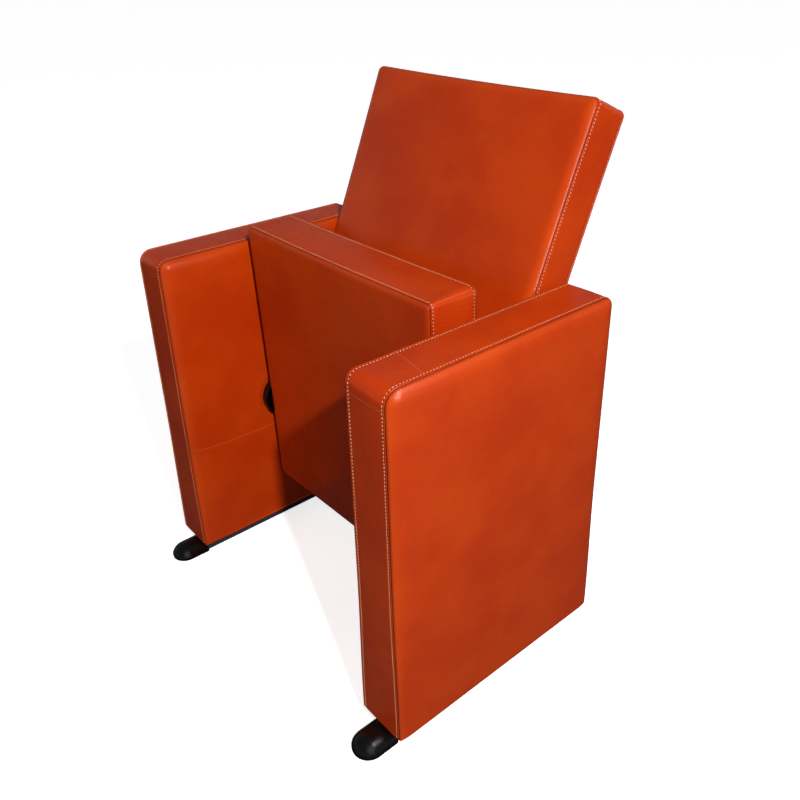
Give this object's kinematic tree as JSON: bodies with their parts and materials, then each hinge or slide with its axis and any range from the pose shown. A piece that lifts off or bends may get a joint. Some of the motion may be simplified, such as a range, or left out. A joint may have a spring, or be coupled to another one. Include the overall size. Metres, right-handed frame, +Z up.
{
  "type": "tip-up training chair",
  "caption": "Tip-up training chair: a padded seat that folds up by itself between two upholstered arm panels on steel feet, with a reclined padded back.",
  "frame": {"origin": "on the floor, at the middle of the chair's footprint with the seat tipped up", "axes": "+Z up, the chair's front faces -Y, +X to the right as seen from in front"},
  "size_m": [0.6856, 0.5954, 0.8961],
  "materials": {
    "leather": "satin",
    "foam": "matte",
    "plywood": "matte",
    "timber": "matte",
    "painted_steel": "satin",
    "black_moulding": "gloss",
    "steel": "satin",
    "nylon": "satin",
    "rubber": "matte"
  },
  "bodies": {
    "frame": {"back_board": "plywood", "back_bolts": "steel", "back_cover": "leather", "back_foam": "foam", "back_screws": "steel", "left_arm_rail": "timber", "left_back_bracket": "painted_steel", "left_back_post": "painted_steel", "left_bottom_rails": "timber", "left_down_buffer": "rubber", "left_foot_bar": "painted_steel", "left_front_rail": "timber", "left_heel_cap": "black_moulding", "left_hub_cup": "black_moulding", "left_inner_board": "plywood", "left_outer_board": "plywood", "left_pivot_pin": "steel", "left_pivot_post": "painted_steel", "left_rear_rail": "timber", "left_return_spring": "steel", "left_side_cover": "leather", "left_toe_cap": "black_moulding", "left_up_buffer": "rubber", "right_arm_rail": "timber", "right_back_bracket": "painted_steel", "right_back_post": "painted_steel", "right_bottom_rails": "timber", "right_down_buffer": "rubber", "right_foot_bar": "painted_steel", "right_front_rail": "timber", "right_heel_cap": "black_moulding", "right_hub_cup": "black_moulding", "right_inner_board": "plywood", "right_outer_board": "plywood", "right_pivot_pin": "steel", "right_pivot_post": "painted_steel", "right_rear_rail": "timber", "right_return_spring": "steel", "right_side_cover": "leather", "right_toe_cap": "black_moulding", "right_up_buffer": "rubber"},
    "seat": {"left_pivot_bush": "nylon", "left_seat_bracket": "painted_steel", "left_stop_arm": "steel", "right_pivot_bush": "nylon", "right_seat_bracket": "painted_steel", "right_stop_arm": "steel", "seat_board": "plywood", "seat_cover": "leather", "seat_foam": "foam", "seat_screws": "steel"}
  },
  "joints": [
    {"name": "seat_tip", "type": "hinge", "parent": "frame", "child": "seat", "pos_m": [0, -0.0392, 0.304], "axis": [1, 0, 0], "range_deg": [0, 78], "stiffness_Nm_per_rad": 3.4, "springref_deg": -34.38, "deforming": ["left_return_spring", "right_return_spring"]}
  ]
}
